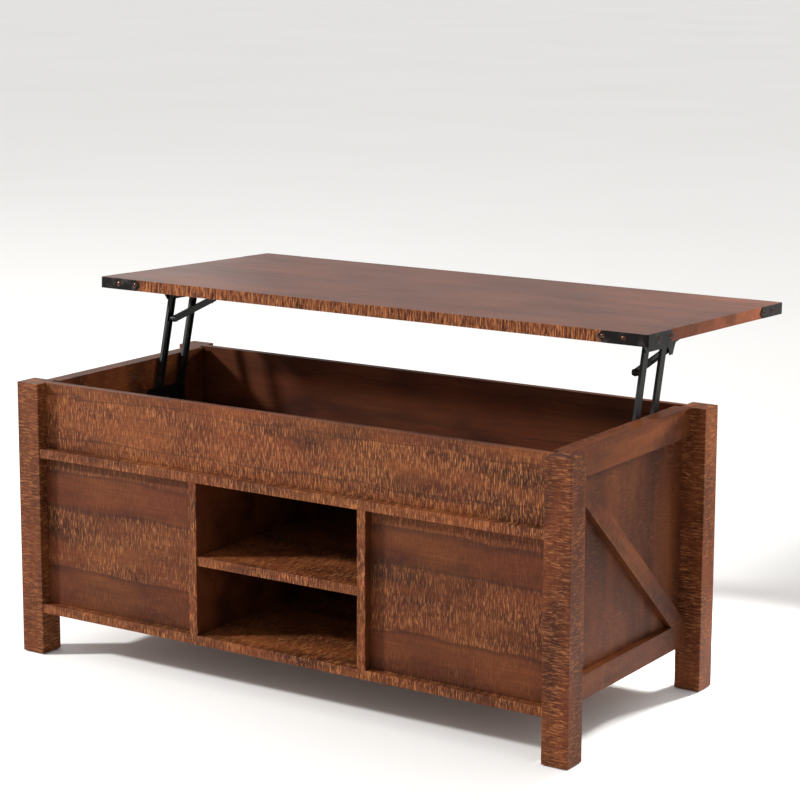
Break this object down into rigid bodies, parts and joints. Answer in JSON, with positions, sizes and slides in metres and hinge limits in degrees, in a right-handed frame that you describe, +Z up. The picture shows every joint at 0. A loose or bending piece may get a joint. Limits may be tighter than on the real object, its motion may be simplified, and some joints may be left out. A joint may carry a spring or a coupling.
{
  "type": "lift top coffee table",
  "caption": "Rustic coffee table with square legs, an open centre cubby with a shelf, braced sides and a lid that lifts forward on parallel arms.",
  "frame": {"origin": "on the floor, under the middle of the whole table as it stands with its lid raised", "axes": "+X along the table's length, -Y towards the open shelf side, +Y towards the person at the raised lid, +Z up"},
  "size_m": [1.0692, 0.712, 0.6171],
  "materials": {
    "rustic_wood_laminate": "rustic reddish brown wood-effect laminate with saw marks",
    "lid_board_laminate": "rustic brown wood-effect laminate, grain along the length",
    "bronzed_steel": "dark bronze powder coat, matte",
    "black_coated_steel": "black powder coat, satin",
    "zinc_plated_steel": "zinc plated",
    "beech_dowel": "raw beech",
    "black_nylon": "moulded",
    "clear_silicone": "soft translucent"
  },
  "bodies": {
    "cabinet": {"back_panel": "rustic_wood_laminate", "base_pins_left": "black_coated_steel", "base_pins_right": "black_coated_steel", "base_plate_left": "black_coated_steel", "base_plate_right": "black_coated_steel", "base_plate_screws": "zinc_plated_steel", "bottom_board": "rustic_wood_laminate", "cam_bolts": "zinc_plated_steel", "cam_locks": "zinc_plated_steel", "compartment_floor": "rustic_wood_laminate", "divider_dowels": "beech_dowel", "divider_left": "rustic_wood_laminate", "divider_right": "rustic_wood_laminate", "foot_glides": "black_nylon", "frame_dowels": "beech_dowel", "front_apron": "rustic_wood_laminate", "front_panel_left": "rustic_wood_laminate", "front_panel_right": "rustic_wood_laminate", "leg_front_left": "rustic_wood_laminate", "leg_front_right": "rustic_wood_laminate", "leg_rear_left": "rustic_wood_laminate", "leg_rear_right": "rustic_wood_laminate", "rail_screws": "zinc_plated_steel", "rear_apron": "rustic_wood_laminate", "shelf": "rustic_wood_laminate", "shelf_pegs": "zinc_plated_steel", "side_bottom_rail_left": "rustic_wood_laminate", "side_bottom_rail_right": "rustic_wood_laminate", "side_brace_left": "rustic_wood_laminate", "side_brace_right": "rustic_wood_laminate", "side_panel_left": "rustic_wood_laminate", "side_panel_right": "rustic_wood_laminate", "side_top_rail_left": "rustic_wood_laminate", "side_top_rail_right": "rustic_wood_laminate"},
    "front_arm_right": {"front_arm_right": "black_coated_steel", "stay_pin_right": "black_coated_steel"},
    "front_arm_left": {"front_arm_left": "black_coated_steel", "stay_pin_left": "black_coated_steel"},
    "rear_arm_right": {"rear_arm_right": "black_coated_steel", "rear_top_pin_right": "black_coated_steel"},
    "rear_arm_left": {"rear_arm_left": "black_coated_steel", "rear_top_pin_left": "black_coated_steel"},
    "lid": {"bracket_screws": "zinc_plated_steel", "corner_guard_front_left": "bronzed_steel", "corner_guard_front_right": "bronzed_steel", "corner_guard_rear_left": "bronzed_steel", "corner_guard_rear_right": "bronzed_steel", "corner_guard_screws": "zinc_plated_steel", "front_top_pin_left": "black_coated_steel", "front_top_pin_right": "black_coated_steel", "lid_board": "lid_board_laminate", "lid_bracket_left": "black_coated_steel", "lid_bracket_right": "black_coated_steel", "lid_bumpers": "clear_silicone"},
    "stay_right": {"stay_right": "black_coated_steel"},
    "stay_left": {"stay_left": "black_coated_steel"}
  },
  "joints": [
    {"name": "lid_lift", "type": "hinge", "parent": "cabinet", "child": "front_arm_right", "pos_m": [0, -0.06104, 0.393], "axis": [1, 0, 0], "range_deg": [0, 86.55]},
    {"name": "front_arm_left_swing", "type": "hinge", "parent": "cabinet", "child": "front_arm_left", "pos_m": [0, -0.06104, 0.393], "axis": [1, 0, 0], "range_deg": [0, 86.7]},
    {"name": "rear_arm_right_swing", "type": "hinge", "parent": "cabinet", "child": "rear_arm_right", "pos_m": [0, -0.0015, 0.393], "axis": [1, 0, 0], "range_deg": [0, 87.1]},
    {"name": "rear_arm_left_swing", "type": "hinge", "parent": "cabinet", "child": "rear_arm_left", "pos_m": [0, -0.0015, 0.393], "axis": [1, 0, 0], "range_deg": [0, 87.1]},
    {"name": "lid_level", "type": "hinge", "parent": "front_arm_right", "child": "lid", "pos_m": [0, -0.01435, 0.57614], "axis": [1, 0, 0], "range_deg": [-85, 0]},
    {"name": "stay_right_swing", "type": "hinge", "parent": "front_arm_right", "child": "stay_right", "pos_m": [0, -0.02485, 0.53496], "axis": [1, 0, 0], "range_deg": [-101.5, 0]},
    {"name": "stay_left_swing", "type": "hinge", "parent": "front_arm_left", "child": "stay_left", "pos_m": [0, -0.02485, 0.53496], "axis": [1, 0, 0], "range_deg": [-101.5, 0]}
  ],
  "couplings": [
    {"joint": "front_arm_left_swing", "follows": "lid_lift", "ratio": 1},
    {"joint": "rear_arm_right_swing", "follows": "lid_lift", "ratio": 1.0049},
    {"joint": "rear_arm_left_swing", "follows": "lid_lift", "ratio": 1.0049},
    {"joint": "lid_level", "follows": "lid_lift", "ratio": -0.98036},
    {"joint": "stay_right_swing", "follows": "lid_lift", "ratio": -1.1698},
    {"joint": "stay_left_swing", "follows": "lid_lift", "ratio": -1.1698}
  ]
}
